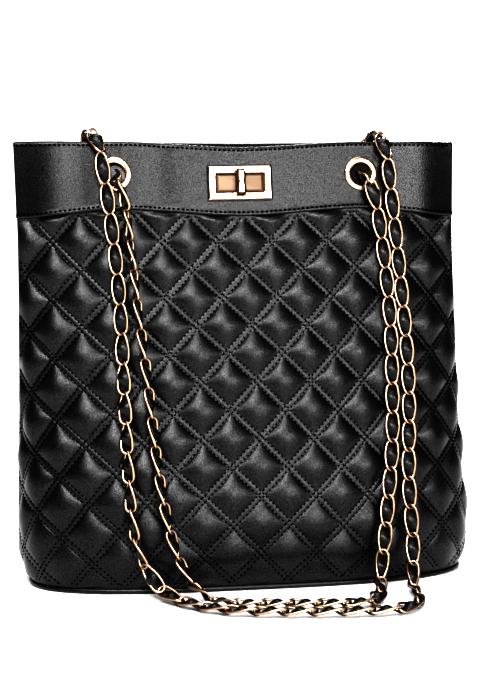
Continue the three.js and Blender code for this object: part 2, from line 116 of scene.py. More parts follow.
def dress(piece, material, body="bag", stands_for=()):
    """Gives a piece its material, its body and the CAD nodes that it replaces."""
    piece.data.materials.clear()
    piece.data.materials.append(material)
    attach(piece, body)
    if stands_for:
        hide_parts(*stands_for)
    return piece


# ---------- the surface as a table ----------


def lean_at(z):
    """How far the bag leans over at a height, towards -X."""
    return -LEAN * (z - WIDEST_Z) / (RIM_Z - WIDEST_Z)


def profile_slope(i, k):
    def step(j):
        return (PROFILE[j + 1, k] - PROFILE[j, k]) / (PROFILE[j + 1, 0] - PROFILE[j, 0])

    if i == 0:
        return step(0)
    if i == len(PROFILE) - 1:
        return step(i - 1)
    before, after = step(i - 1), step(i)
    return 0 if before * after <= 0 else 2 * before * after / (before + after)


def profile_at(z):
    """Half width, half depth and the two exponents at a height, on a smooth curve through PROFILE."""
    i = min(int(np.searchsorted(PROFILE[:, 0], z, side="right")) - 1, len(PROFILE) - 2)
    height = PROFILE[i + 1, 0] - PROFILE[i, 0]
    t = min(max((z - PROFILE[i, 0]) / height, 0), 1)
    values = []
    for k in (1, 2, 3, 4):
        value = PROFILE[i, k] * (2 * t**3 - 3 * t**2 + 1) + PROFILE[i + 1, k] * (3 * t**2 - 2 * t**3)
        value += profile_slope(i, k) * height * (t**3 - 2 * t**2 + t)
        value += profile_slope(i + 1, k) * height * (t**3 - t**2)
        values.append(value)
    return values


def wave(u, middle, end):
    v = np.abs(u)
    inner = -middle * smooth(1 - v / EYELET_U)
    return np.where(v < EYELET_U, inner, -end * smooth((v - EYELET_U) / (1 - EYELET_U)))


def lifted(z, u, side):
    hem = wave(u, HEM_SAG, HEM_DROP)
    if z <= HEM_Z:
        return z + smooth((z - SAG_START_Z) / (HEM_Z - SAG_START_Z)) * hem
    t = (z - HEM_Z) / (RIM_Z - HEM_Z)
    return z + (1 - t) * hem + t * wave(u, FRONT_RIM_SAG if side == FRONT else BACK_RIM_SAG, 0)


def section(z, side, count):
    """Evenly spaced points along half a section, from seam to seam, and its half length."""
    half_width, half_depth, p, q = profile_at(z)
    turn = np.linspace(math.pi, 0, 900)
    u = np.sign(np.cos(turn)) * np.abs(np.cos(turn)) ** (2 / p)
    x = half_width * u
    y = SEAM_PLY + (half_depth - SEAM_PLY) * np.abs(np.sin(turn)) ** (2 / q)
    u, x, y = np.r_[-1, u, 1], np.r_[x[0], x, x[-1]], np.r_[SEAM_GAP, y, SEAM_GAP]
    along = np.r_[0, np.cumsum(np.hypot(np.diff(x), np.diff(y)))]
    even = np.linspace(0, along[-1], count)
    u, x, y = (np.interp(even, along, values) for values in (u, x, y))
    return np.stack([x + lean_at(z), side * y, lifted(z, u, side)], axis=1), along[-1] / 2


LEVELS = np.linspace(0, RIM_Z, 312)
WALL_COLUMNS = 721


def wall_table(side):
    """The outer surface and its normals on an even grid: rows by level, columns from seam to seam."""
    rows = [section(z, side, WALL_COLUMNS) for z in LEVELS]
    points = np.array([row for row, _ in rows])
    across = np.gradient(points, axis=1)
    up = np.gradient(points, axis=0)
    normals = np.cross(across, up) * (1 if side == FRONT else -1)
    normals /= np.linalg.norm(normals, axis=2, keepdims=True)
    return {
        "side": side,
        "points": points,
        "normals": normals,
        "half": np.array([half for _, half in rows]),
    }


def sample(table, f, level):
    """A table's value at a share f of the half length, from -1 to 1, and a level."""
    u = (np.clip(f, -1, 1) + 1) / 2 * (table.shape[1] - 1)
    v = np.clip(level / RIM_Z, 0, 1) * (table.shape[0] - 1)
    i = np.minimum(v.astype(int), table.shape[0] - 2)
    j = np.minimum(u.astype(int), table.shape[1] - 2)
    a, b = (v - i)[..., None], (u - j)[..., None]
    low = table[i, j] * (1 - b) + table[i, j + 1] * b
    high = table[i + 1, j] * (1 - b) + table[i + 1, j + 1] * b
    return low * (1 - a) + high * a


def on_wall(wall, f, level, offset=0.0):
    """Points of a wall moved out along its normal, kept on their own side of the middle plane."""
    f, level = np.broadcast_arrays(np.asarray(f, float), np.asarray(level, float))
    normals = sample(wall["normals"], f, level)
    normals /= np.linalg.norm(normals, axis=-1, keepdims=True)
    points = sample(wall["points"], f, level) + normals * np.asarray(offset)[..., None]
    points[..., 1] = np.maximum(wall["side"] * points[..., 1], SEAM_GAP) * wall["side"]
    return points, normals


walls = {side: wall_table(side) for side in (FRONT, BACK)}


def frame_on(wall, x, level):
    """A frame on the wall: local X across, local Y up the wall, local Z outwards."""
    shares = np.linspace(-1, 1, WALL_COLUMNS)
    row = sample(wall["points"], shares, np.full(WALL_COLUMNS, level))
    f = float(np.interp(x, row[:, 0], shares))
    place, normal = (values[0] for values in on_wall(wall, [f], [level]))
    above = on_wall(wall, [f], [level + 3 * MM])[0][0]
    below = on_wall(wall, [f], [level - 3 * MM])[0][0]
    z_axis = Vector(normal)
    y_axis = Vector(above - below)
    y_axis = (y_axis - z_axis * y_axis.dot(z_axis)).normalized()
    matrix = Matrix([y_axis.cross(z_axis), y_axis, z_axis]).transposed().to_4x4()
    matrix.translation = Vector(place)
    return matrix


# ---------- camera, lights and floor ----------


def set_camera():
    """The camera is 1 m away, a little to the bag's left and a little above its middle."""
    yaw, pitch, roll = (math.radians(angle) for angle in (8.5, 5.7, -0.38))
    forward = Vector((math.sin(yaw) * math.cos(pitch), math.cos(yaw) * math.cos(pitch), -math.sin(pitch)))
    flat_right = Vector((math.cos(yaw), -math.sin(yaw), 0))
    flat_up = flat_right.cross(forward)
    right = flat_right * math.cos(roll) + flat_up * math.sin(roll)
    up = flat_up * math.cos(roll) - flat_right * math.sin(roll)
    camera = bpy.data.objects.new("camera", bpy.data.cameras.new("camera"))
    camera.matrix_world = Matrix([right, up, -forward]).transposed().to_4x4()
    camera.location = (-math.sin(yaw), -math.cos(yaw), 0.2635)
    camera.data.sensor_width = 36
    camera.data.lens = 71.42
    camera.data.shift_x = 0.0079
    camera.data.shift_y = -0.0029
    bpy.context.scene.collection.objects.link(camera)
    bpy.context.scene.camera = camera


def area_light(name, place, target, size, power):
    light = bpy.data.lights.new(name, "AREA")
    light.shape = "RECTANGLE"
    light.size, light.size_y = size
    light.energy = power
    holder = bpy.data.objects.new(name, light)
    holder.location = place
    holder.rotation_euler = (Vector(target) - Vector(place)).to_track_quat("-Z", "Y").to_euler()
    bpy.context.scene.collection.objects.link(holder)


def set_lights():
    middle = (0, 0, 0.16)
    area_light("key", (-0.32, -1.08, 1.12), middle, (0.7, 0.6), 37)
    area_light("front", (0.42, -1.65, 0.6), middle, (1.0, 0.26), 31)
    area_light("overhead", (0.0, 0.1, 1.4), middle, (0.7, 0.5), 11)
    area_light("rear", (0.4, 1.5, 0.95), middle, (0.8, 0.5), 34)
    bpy.context.scene.world = studio_world()
    bpy.context.scene.view_settings.view_transform = "Standard"
    bpy.context.scene.view_settings.look = "Very High Contrast"


def studio_world():
    """A dim even room light; the empty background itself shows white."""
    world = bpy.data.worlds.new("studio")
    world.use_nodes = True
    tree = world.node_tree
    room = tree.nodes["Background"]
    room.inputs["Color"].default_value = (1, 1, 1, 1)
    room.inputs["Strength"].default_value = 0.15
    white = tree.nodes.new("ShaderNodeBackground")
    white.inputs["Color"].default_value = (1, 1, 1, 1)
    white.inputs["Strength"].default_value = 1.3
    mix = tree.nodes.new("ShaderNodeMixShader")
    rays = tree.nodes.new("ShaderNodeLightPath")
    tree.links.new(rays.outputs["Is Camera Ray"], mix.inputs[0])
    tree.links.new(room.outputs[0], mix.inputs[1])
    tree.links.new(white.outputs[0], mix.inputs[2])
    tree.links.new(mix.outputs[0], tree.nodes["World Output"].inputs["Surface"])
    return world


def set_floor():
    """A plain white floor."""
    side = 2.6
    points = [(-side, -side, 0), (side, -side, 0), (side, side, 0), (-side, side, 0)]
    floor = mesh_object("floor", points, [(0, 1, 2, 3)])
    floor.location.z = -0.1 * MM
    floor.data.materials.append(floor_material())


# ---------- materials ----------


class Nodes:
    """A short way to build a material's node tree."""

    def __init__(self, name):
        self.material = bpy.data.materials.new(name)
        self.material.use_nodes = True
        self.tree = self.material.node_tree
        self.shader = self.tree.nodes["Principled BSDF"]

    def add(self, kind, **settings):
        node = self.tree.nodes.new("ShaderNode" + kind)
        for key, value in settings.items():
            if key in node.inputs:
                node.inputs[key].default_value = value
            else:
                setattr(node, key, value)
        return node

    def join(self, output, target):
        self.tree.links.new(output, target)

    def noise(self, scale, detail=3.0, stretch=None):
        place = self.add("TexCoord").outputs["Object"]
        if stretch:
            mapping = self.add("Mapping")
            mapping.inputs["Scale"].default_value = stretch
            self.join(place, mapping.inputs["Vector"])
            place = mapping.outputs["Vector"]
        texture = self.add("TexNoise", Scale=scale, Detail=detail)
        self.join(place, texture.inputs["Vector"])
        return texture.outputs[0]

    def ramp(self, value, low, high, end=1.0):
        """Maps 0..1 of a value to a pair of numbers or colours."""
        if isinstance(low, tuple):
            ramp = self.add("ValToRGB")
            ramp.color_ramp.elements[0].color = (*low, 1)
            ramp.color_ramp.elements[1].color = (*high, 1)
            ramp.color_ramp.elements[1].position = end
            self.join(value, ramp.inputs["Fac"])
            return ramp.outputs["Color"]
        ramp = self.add("MapRange")
        ramp.inputs["To Min"].default_value = low
        ramp.inputs["To Max"].default_value = high
        self.join(value, ramp.inputs["Value"])
        return ramp.outputs["Result"]

    def bump(self, *layers):
        """Adds height layers of (output, strength, distance), one on another."""
        normal = None
        for height, strength, distance in layers:
            bump = self.add("Bump", Strength=strength, Distance=distance)
            self.join(height, bump.inputs["Height"])
            if normal:
                self.join(normal, bump.inputs["Normal"])
            normal = bump.outputs["Normal"]
        self.join(normal, self.shader.inputs["Normal"])

    def colour(self, low, high, scale, **more):
        self.join(self.ramp(self.noise(scale, **more), low, high), self.shader.inputs["Base Color"])

    def rough(self, low, high, scale, **more):
        self.join(self.ramp(self.noise(scale, **more), low, high), self.shader.inputs["Roughness"])


def leather_material(name, low, high, grain=0.25, shine=(0.1, 0.32)):
    look = Nodes(name)
    look.colour((0.0008, 0.0008, 0.0009), (0.002, 0.002, 0.0022), 60)
    look.rough(low, high, 45)
    pores = look.ramp(look.ramp(look.noise(1300, 1), -1.0, 2.0), *shine)
    look.join(pores, look.shader.inputs["Specular IOR Level"])
    look.bump((look.noise(1500, 1), grain, 0.0005))
    return look.material


def metal_material(name, colour, low, high, brushed=None, edge=(0.16, 0.09, 0.05)):
    look = Nodes(name)
    look.shader.inputs["Metallic"].default_value = 1.0
    dull = tuple(0.93 * part for part in colour)
    worn = look.ramp(look.noise(120), dull, colour)
    # Painted reflection: the base colour is multiplied towards the edge colour at grazing angles, standing in
    # for dark surroundings reflected at the rims.
    facing = look.add("LayerWeight", Blend=0.5).outputs["Facing"]
    mix = look.add("MixRGB", blend_type="MULTIPLY", Fac=1.0)
    look.join(worn, mix.inputs["Color1"])
    look.join(look.ramp(facing, (1.0, 1.0, 1.0), edge, end=0.6), mix.inputs["Color2"])
    look.join(mix.outputs["Color"], look.shader.inputs["Base Color"])
    look.rough(low, high, 300, stretch=brushed)
    look.bump((look.noise(900, 2, stretch=brushed), 0.04, 0.0002))
    return look.material


def cloth_material(name, low, high):
    look = Nodes(name)
    look.colour(low, high, 700)
    look.rough(0.65, 0.85, 200)
    look.bump((look.noise(1800, 2, stretch=(1, 1, 0.3)), 0.4, 0.0004), (look.noise(60, 3), 0.2, 0.002))
    look.shader.inputs["Specular IOR Level"].default_value = 0.08
    look.shader.inputs["IOR"].default_value = 1.2
    return look.material


def thread_material():
    look = Nodes("thread")
    look.colour((0.0005, 0.0005, 0.0005), (0.0015, 0.0015, 0.0015), 900)
    look.rough(0.85, 1.0, 400)
    look.shader.inputs["Specular IOR Level"].default_value = 0.02
    look.shader.inputs["IOR"].default_value = 1.1
    look.bump((look.noise(3500, 2), 0.4, 0.0002))
    return look.material


def board_material():
    look = Nodes("pressed board")
    look.colour((0.28, 0.2, 0.13), (0.4, 0.31, 0.21), 400)
    look.rough(0.8, 0.95, 200)
    look.bump((look.noise(900), 0.3, 0.0004))
    return look.material


def floor_material():
    """White paper, lit a little from behind far from the bag, where the lamps don't reach."""
    look = Nodes("floor")
    look.colour((0.84, 0.84, 0.845), (0.88, 0.88, 0.885), 3)
    mapping = look.add("Mapping")
    mapping.inputs["Scale"].default_value = (0.5, 0.5, 0.5)
    gradient = look.add("TexGradient", gradient_type="SPHERICAL")
    look.join(look.add("TexCoord").outputs["Object"], mapping.inputs["Vector"])
    look.join(mapping.outputs["Vector"], gradient.inputs["Vector"])
    near = look.add("MapRange")
    for name, value in (("From Min", 0.45), ("From Max", 0.75), ("To Min", 1.3), ("To Max", 0.0)):
        near.inputs[name].default_value = value
    look.join(gradient.outputs["Fac"], near.inputs["Value"])
    look.join(near.outputs["Result"], look.shader.inputs["Emission Strength"])
    look.shader.inputs["Emission Color"].default_value = (1, 1, 1, 1)
    look.rough(0.55, 0.65, 8)
    look.shader.inputs["Specular IOR Level"].default_value = 0.2
    return look.material


leather = leather_material("quilted leather", 0.3, 0.38)
band_leather = leather_material("band leather", 0.26, 0.32, grain=0.3)
ribbon_leather = leather_material("ribbon leather", 0.28, 0.4)
facing_leather = leather_material("facing leather", 0.5, 0.6, shine=(0.03, 0.08))
rose_gold = metal_material("rose gold", (0.66, 0.45, 0.28), 0.2, 0.3)
# Painted shade: a darker copy of the rose gold, so that the chain's wire does not burn white in the lamps.
shaded_chain_gold = metal_material("shaded chain rose gold", (0.44, 0.3, 0.2), 0.25, 0.34)
plated_steel = metal_material("plated steel", (0.62, 0.62, 0.63), 0.3, 0.4)
lining_cloth = cloth_material("lining cloth", (0.008, 0.008, 0.008), (0.022, 0.021, 0.02))
thread = thread_material()
board = board_material()

# ---------- the chain strap ----------
# Routes in millimetres, the same as the CAD tubes; the two parts meet inside the mouth.
FRONT_ROUTE = [
    (-92, 0, 288), (-93, -8, 288), (-92, -17, 287), (-88, -21, 277), (-85, -22, 258),
    (-82, -27, 230), (-79, -35, 195), (-75, -43, 158), (-72, -50, 125), (-69, -57, 92),
    (-65, -65, 62), (-59, -69, 36), (-51, -73, 17), (-44, -81, 8), (-35, -92, 5),
    (-20, -102, 5), (10, -107, 5), (38, -112, 5), (60, -113, 5), (72, -107, 5),
    (78, -94, 5), (81, -81, 7), (84, -72, 15), (87, -68, 32), (92, -60, 64),
    (97, -51, 100), (99, -42, 140), (100, -33, 182), (98, -26, 221), (95, -21, 252),
    (92, -20, 270), (88, -20, 282), (84, -14, 287), (83, -7, 288), (83, 0, 288),
]
REAR_ROUTE = [
    (-92, 0, 288), (-93, 10, 288), (-97, 18, 291), (-103, 20, 300), (-109, 16, 310),
    (-111, 8, 315), (-109, -2, 317), (-105, -11, 314), (-103, -15, 306), (-101, -17, 293),
    (-98, -19, 272), (-92, -30, 210), (-90, -46, 136), (-88, -61, 66), (-85, -67, 40),
    (-77, -71, 19), (-66, -79, 7), (-52, -96, 5), (-33, -113, 5), (0, -124, 5),
    (65, -133, 5), (82, -132, 5), (94, -125, 5), (100, -112, 5), (104, -81, 7),
    (107, -71, 17), (108, -65, 38), (107, -59, 70), (111, -41, 146), (108, -25, 224),
    (103, -17, 285), (101, -15, 303), (98, -10, 314), (97, -1, 317), (95, 9, 315),
    (93, 16, 310), (89, 20, 300), (86, 18, 292), (84, 10, 288), (83, 0, 288),
]
# The way that the chain's flat face looks, at some of the route's points.
FRONT_FACES = {
    0: (1, 0, -0.2), 2: (0.7, 0.5, -0.5), 4: (1, 0.1, 0), 7: (0.85, -0.5, 0.1),
    11: (0.85, -0.5, 0.2), 13: (0.7, 0, 0.7), 15: (0.1, 0.1, 1), 18: (0, 0.1, 1),
    20: (0.5, -0.4, 0.8), 22: (0.3, -0.9, 0.2),
    24: (-0.1, -1, 0.1), 30: (-0.1, -1, 0.1), 32: (0.3, -0.3, 0.9), 34: (1, 0, 0.2),
}
REAR_FACES = {
    0: (1, 0, -0.2), 1: (0.8, 0, -0.6), 2: (0.2, 0.6, -0.7), 3: (0, 1, 0), 5: (0, 0.5, 0.9),
    6: (0, 0, 1), 7: (0, -0.6, 0.8), 9: (-0.1, -1, 0.1), 11: (-0.1, -1, 0.1),
    13: (-0.85, -0.5, 0.1), 14: (-0.95, -0.1, 0.3), 15: (-0.7, 0, 0.7), 17: (-0.1, 0.1, 1),
    21: (0, 0.1, 1), 23: (0.6, -0.3, 0.7), 24: (0.4, -0.8, 0.4), 26: (-0.1, -1, 0.1),
    31: (-0.1, -1, 0.1), 33: (0, 0, 1), 35: (0, 0.7, 0.7), 36: (0, 1, 0), 37: (0.3, 0.6, -0.7),
    38: (0.8, 0, -0.6), 39: (1, 0, 0.2),
}
CHAIN_PITCH = 20.2 * MM
CHAIN_STRETCH = 0.035
WIRE = 1.9 * MM
LINK_HALF_LENGTH = 11.1 * MM
LINK_HALF_WIDTH = 4.0 * MM
LINK_END = 4.8 * MM
LINK_BOW = 0.4 * MM
LINK_TWIST = math.radians(38)
RIBBON_THICK = 1.0 * MM


def smooth_route(points, steps=24):
    """Points along a centripetal Catmull-Rom curve, and each one's place in the list of route points."""
    knots = np.array(points, float)
    knots = np.vstack([2 * knots[0] - knots[1], knots, 2 * knots[-1] - knots[-2]])
    line, places = [], []
    for i in range(len(knots) - 3):
        p0, p1, p2, p3 = knots[i : i + 4]
        d0, d1, d2 = (math.sqrt(np.linalg.norm(b - a)) for a, b in ((p0, p1), (p1, p2), (p2, p3)))
        m1 = ((p1 - p0) / d0 - (p2 - p0) / (d0 + d1) + (p2 - p1) / d1) * d1
        m2 = ((p2 - p1) / d1 - (p3 - p1) / (d1 + d2) + (p3 - p2) / d2) * d1
        for k in range(steps):
            t = k / steps
            a, b = 2 * t**3 - 3 * t**2 + 1, t**3 - 2 * t**2 + t
            c, d = -2 * t**3 + 3 * t**2, t**3 - t**2
            line.append(a * p1 + b * m1 + c * p2 + d * m2)
            places.append(i + t)
    return np.array(line + [knots[-2]]), np.array(places + [len(points) - 1.0])


class Strand:
    """A route with its arc length, tangent and face, looked up by distance along it."""

    def __init__(self, route, faces):
        self.line, self.place = smooth_route(np.array(route) * MM)
        steps = np.linalg.norm(np.diff(self.line, axis=0), axis=1)
        self.along = np.r_[0, np.cumsum(steps)]
        self.length = self.along[-1]
        self.face_at = list(faces)
        self.faces = np.array([faces[i] for i in self.face_at], float)

    def read(self, s):
        return np.stack([np.interp(s, self.along, self.line[:, k]) for k in range(3)], axis=-1)

    def at(self, s):
        """Centre, tangent, sideways and face vectors at distances along the strand."""
        s = np.asarray(s, float)
        centre = self.read(s)
        near, far = np.clip(s - 2 * MM, 0, self.length), np.clip(s + 2 * MM, 0, self.length)
        tangent = self.read(far) - self.read(near)
        tangent /= np.linalg.norm(tangent, axis=-1, keepdims=True)
        place = np.interp(s, self.along, self.place)
        face = np.stack([np.interp(place, self.face_at, self.faces[:, k]) for k in range(3)], axis=-1)
        face -= tangent * (face * tangent).sum(-1, keepdims=True)
        face /= np.linalg.norm(face, axis=-1, keepdims=True)
        return centre, tangent, np.cross(tangent, face), face

    def place_local(self, s, sideways, outwards):
        centre, _, side, face = self.at(s)
        return centre + side * np.asarray(sideways)[..., None] + face * np.asarray(outwards)[..., None]


def link_middles(strand):
    """Distances along a strand to its links' middles, a little further apart near its two ends."""
    count = round(strand.length / CHAIN_PITCH)
    share = (np.arange(count) + 0.5) / count
    return strand.length * (share + CHAIN_STRETCH / (2 * math.pi) * np.sin(2 * math.pi * share) * 2)


def link_outline():
    """A link's wire as distances along and across: blunt round ends and slightly bowed sides."""
    straight = LINK_HALF_LENGTH - LINK_END
    end = np.linspace(-math.pi / 2, math.pi / 2, 13)
    side = np.linspace(0.8, -0.8, 7)
    bow = LINK_HALF_WIDTH + LINK_BOW * (1 - side**2)
    end_x, end_y = straight + LINK_END * np.cos(end), LINK_HALF_WIDTH * np.sin(end)
    along = np.concatenate([end_x, side * straight, -end_x, -side * straight])
    return along, np.concatenate([end_y, bow, -end_y, -bow])


def chain_mesh(name, strand, around=10):
    """All the twisted oval links of one strand as one mesh of closed rings of wire."""
    middles = link_middles(strand)
    oval_x, oval_y = link_outline()
    steps = len(oval_x)
    angle = LINK_TWIST * oval_x / LINK_HALF_LENGTH
    turns = np.linspace(0, 2 * math.pi, around, endpoint=False)
    points, faces = [], []
    ring_faces = grid_quads(steps, around, closed_rows=True, closed_columns=True)
    for i, middle in enumerate(middles):
        centre, _, _, face = strand.at(np.array([middle]))
        # The wire stays rigid: a link lies along the chord of its own stretch of the route.
        ends = strand.at(np.array([middle - LINK_HALF_LENGTH, middle + LINK_HALF_LENGTH]))[0]
        axis = ends[1] - ends[0]
        axis /= np.linalg.norm(axis)
        out = face[0] - axis * face[0].dot(axis)
        out /= np.linalg.norm(out)
        across = np.cross(axis, out)
        heart = (centre[0] + ends.mean(0)) / 2
        bar = heart + np.outer(oval_x, axis) + np.outer(oval_y * np.cos(angle), across)
        bar += np.outer(oval_y * np.sin(angle), out)
        run = np.roll(bar, -1, axis=0) - np.roll(bar, 1, axis=0)
        run /= np.linalg.norm(run, axis=1, keepdims=True)
        spoke = bar - heart
        spoke -= run * (spoke * run).sum(1, keepdims=True)
        spoke /= np.linalg.norm(spoke, axis=1, keepdims=True)
        other = np.cross(run, spoke)
        for k in range(steps):
            round_bar = np.outer(np.cos(turns), spoke[k]) + np.outer(np.sin(turns), other[k])
            points.extend(bar[k] + WIRE / 2 * round_bar)
        first = i * steps * around
        faces.extend([tuple(first + v for v in face_) for face_ in ring_faces])
    return face_outwards(mesh_object(name, points, faces))


def ribbon_mesh(name, strand):
    """The leather ribbon: behind every knot of two links, and puffed forward through each link's middle."""
    middles = link_middles(strand)
    links = np.r_[-0.5, np.arange(len(middles)), len(middles) - 0.5]
    place = np.linspace(-0.5, len(middles) - 0.5, len(middles) * 20 + 1)
    s = np.interp(place, links, np.r_[0, middles, strand.length])
    puff = (0.5 + 0.5 * np.cos(2 * math.pi * place)) ** 0.9
    width = (2.5 + 1.5 * puff) * MM
    depth = (-2.4 + 3.9 * puff) * MM
    crown = (0.3 + 1.1 * puff) * MM
    across = np.array([-1, -0.94, -0.75, -0.5, -0.25, 0, 0.25, 0.5, 0.75, 0.94, 1])
    top = across[None] * width[:, None], depth[:, None] + crown[:, None] * (1 - across[None] ** 2)
    rows = []
    for sideways, outwards in (top, (top[0][:, ::-1], top[1][:, ::-1] - RIBBON_THICK)):
        rows.append(strand.place_local(np.broadcast_to(s[:, None], sideways.shape), sideways, outwards))
    rings = np.concatenate(rows, axis=1)
    columns = rings.shape[1]
    faces = grid_quads(len(s), columns, closed_columns=True)
    faces.append(tuple(range(columns)))
    faces.append(tuple((len(s) - 1) * columns + j for j in reversed(range(columns))))
    return face_outwards(mesh_object(name, rings.reshape(-1, 3), faces))


def strap(name, route, faces, node):
    strand = Strand(route, faces)
    chain = dress(chain_mesh(name + "_chain", strand), shaded_chain_gold, stands_for=[node])
    ribbon = dress(ribbon_mesh(name + "_ribbon", strand), ribbon_leather)


set_camera()
set_lights()
set_floor()
strap("front_strap", FRONT_ROUTE, FRONT_FACES, "front_strap")
strap("rear_strap", REAR_ROUTE, REAR_FACES, "rear_strap")

# ---------- quilted panels ----------
# Grooves run both ways over the wall.
# s is the distance across from the middle and t the distance up from the hem.
QUILT_PITCH_S = 39.2 * MM
QUILT_PITCH_T = 39.8 * MM
QUILT_SHIFT_S = 1.9 * MM
QUILT_SHIFT_T = -39.5 * MM
GROOVE_SPACING = 28.2 * MM
GROOVE_DEPTH = 2.9 * MM
PUFF_HEIGHT = 3.6 * MM
STRIP_HEIGHT = 0.15 * MM
STRIP_HALF = 1.1 * MM
STRIP_EDGE = 0.4 * MM
STITCH_LEDGE = 0.55 * MM
STITCH_OFFSET = 1.68 * MM
STITCH_PITCH = 3.3 * MM
PANEL_FOOT = 3.9 * MM
TUCK = 2.2 * MM
TUCK_HEIGHT = 8 * MM
PANEL_COLUMNS = 281
PANEL_ROWS = 171
QUILT_THICK = 3.3 * MM


def drop_at(wall, f):
    """For each place across, the distance up the wall from the hem at every level."""
    spread = np.broadcast_to(np.asarray(f)[None], (len(LEVELS), len(f)))
    levels = np.broadcast_to(LEVELS[:, None], spread.shape)
    points = sample(wall["points"], spread, levels)
    steps = np.linalg.norm(np.diff(points, axis=0), axis=2)
    climb = np.vstack([np.zeros(len(f)), np.cumsum(steps, axis=0)])
    return climb - np.array([np.interp(HEM_Z, LEVELS, column) for column in climb.T])


def lattice(s, t):
    """Two numbers that are whole on the grooves of one way and of the other."""
    bulge = 3 * MM * np.cos(math.pi * s / 0.17) * np.sin(-math.pi * (t + 0.037) / 0.2)
    pitch_t = QUILT_PITCH_T * (1 + 0.035 * (s / 0.115) ** 2)
    shift_t = QUILT_SHIFT_T + 2.2 * MM * np.cos(2 * math.pi * s / 0.16)
    across = (s - bulge - QUILT_SHIFT_S) / QUILT_PITCH_S
    up = (t - shift_t) / pitch_t
    return across + up, across - up


def random_of(i, j):
    """A steady random number from 0 to 1 for a pair of whole numbers."""
    value = np.sin(i * 12.9898 + j * 78.233) * 43758.5453
    return value - np.floor(value)


def ridge(distance):
    """The flat strip between two rows of stitches, which falls away to the stitches on both sides."""
    return STRIP_HEIGHT * (1 - smooth((distance - STRIP_HALF) / STRIP_EDGE))


def puff(s, t):
    """Height of the leather over the stitches."""
    a, b = lattice(s, t)
    cell = random_of(np.floor(a), np.floor(b))
    ways = [np.abs(value - np.round(value)) * GROOVE_SPACING for value in (a, b)]
    strips = [ridge(distance) for distance in ways]
    edge = STITCH_OFFSET + STITCH_LEDGE
    reach = GROOVE_SPACING / 2 - edge
    slopes = [1 - (1 - np.clip((distance - edge) / reach, 0, 1)) ** 1.8 for distance in ways]
    pillow = PUFF_HEIGHT * (slopes[0] * slopes[1]) ** 0.7 * (0.94 + 0.12 * cell)
    for other, slope in ((b, slopes[0]), (a, slopes[1])):
        crease = np.cos(2 * math.pi * (5 * other + 3 * cell)) * np.exp(-(((slope - 0.22) / 0.16) ** 2))
        pillow = pillow + 0.07 * MM * crease * np.minimum(1, 4 * slopes[0] * slopes[1])
    in_strip = [distance < edge for distance in ways]
    crossing = np.minimum(strips[0], strips[1])
    strip = np.where(in_strip[0], strips[0], strips[1])
    return np.where(in_strip[0] & in_strip[1], crossing, np.where(in_strip[0] | in_strip[1], strip, pillow))


def panel_offset(s, t, half, foot):
    """Depth of the quilted leather, pressed in at the hem, the foot and the side seams."""
    flatter = 0.55 + 0.45 * smooth((t - foot - 15 * MM) / (100 * MM))
    offset = (-GROOVE_DEPTH + puff(s, t)) * flatter
    at_hem = smooth((-0.3 * MM - t) / (3 * MM))
    at_foot = smooth((t - foot) / (5 * MM))
    at_seam = smooth((half - np.abs(s) - 1 * MM) / (8 * MM))
    offset = -TUCK + (offset + TUCK) * at_hem
    offset = -1.6 * MM + (offset + 1.6 * MM) * at_foot
    return -0.4 * MM + (offset + 0.4 * MM) * at_seam


class Panel:
    """One side's wall as an even grid of places across and up, with ways to find a place on it."""

    def __init__(self, side):
        self.wall = walls[side]
        self.f = np.linspace(-1, 1, PANEL_COLUMNS)
        drops = drop_at(self.wall, self.f)
        self.top = np.array([np.interp(HEM_Z + TUCK_HEIGHT, LEVELS, column) for column in drops.T])
        self.foot = np.array([np.interp(PANEL_FOOT, LEVELS, column) for column in drops.T])
        share = np.linspace(0, 1, PANEL_ROWS)[:, None]
        self.t = self.foot + share * (self.top - self.foot)
        self.level = np.array([np.interp(t, drop, LEVELS) for t, drop in zip(self.t.T, drops.T)]).T
        self.half = np.interp(self.level, LEVELS, self.wall["half"])

    def look_up(self, s, t):
        """Share across, level, half length and foot at a place, and if it is off the panel."""
        column = np.full(s.shape, PANEL_COLUMNS / 2)
        row = np.full(s.shape, PANEL_ROWS / 2)
        for _ in range(8):
            share = s / self.read(self.half, row, column)
            column = (np.clip(share, -1, 1) + 1) / 2 * (PANEL_COLUMNS - 1)
            foot = np.interp(column, np.arange(PANEL_COLUMNS), self.foot)
            top = np.interp(column, np.arange(PANEL_COLUMNS), self.top)
            row = np.clip((t - foot) / (top - foot), 0, 1) * (PANEL_ROWS - 1)
        half = self.read(self.half, row, column)
        off = (np.abs(share) >= 1) | (t <= foot) | (t >= top)
        return np.clip(share, -1, 1), self.read(self.level, row, column), half, foot, off

    def read(self, table, row, column):
        i = np.clip(row.astype(int), 0, PANEL_ROWS - 2)
        j = np.clip(column.astype(int), 0, PANEL_COLUMNS - 2)
        a, b = row - i, column - j
        low = table[i, j] * (1 - b) + table[i, j + 1] * b
        return low * (1 - a) + (table[i + 1, j] * (1 - b) + table[i + 1, j + 1] * b) * a

    def skin(self, s, t):
        """Points of the quilted leather and the way out of the wall there."""
        f, level, half, foot, off = self.look_up(s, t)
        held_s, held_t = f * half, np.clip(t, foot, None)
        points, normals = on_wall(self.wall, f, level, panel_offset(held_s, held_t, half, foot))
        return points, normals, off


# Distances from a groove's middle to the mesh lines beside it: close together at the stitches.
MESH_LINES = np.array([0, 1.1, 1.5, 1.9, 2.2, 2.4, 2.7, 3.3, 4.5, 6.1, 8.0, 10.2, 12.4, 14.1]) * MM


def place_of(a, b):
    """Distances across and up for a pair of lattice numbers."""
    s, t = np.zeros(a.shape), np.zeros(a.shape)
    for _ in range(12):
        found_a, found_b = lattice(s, t)
        s = s + (a + b - found_a - found_b) / 2 * QUILT_PITCH_S
        t = t + (a - b - found_a + found_b) / 2 * QUILT_PITCH_T
    return s, t


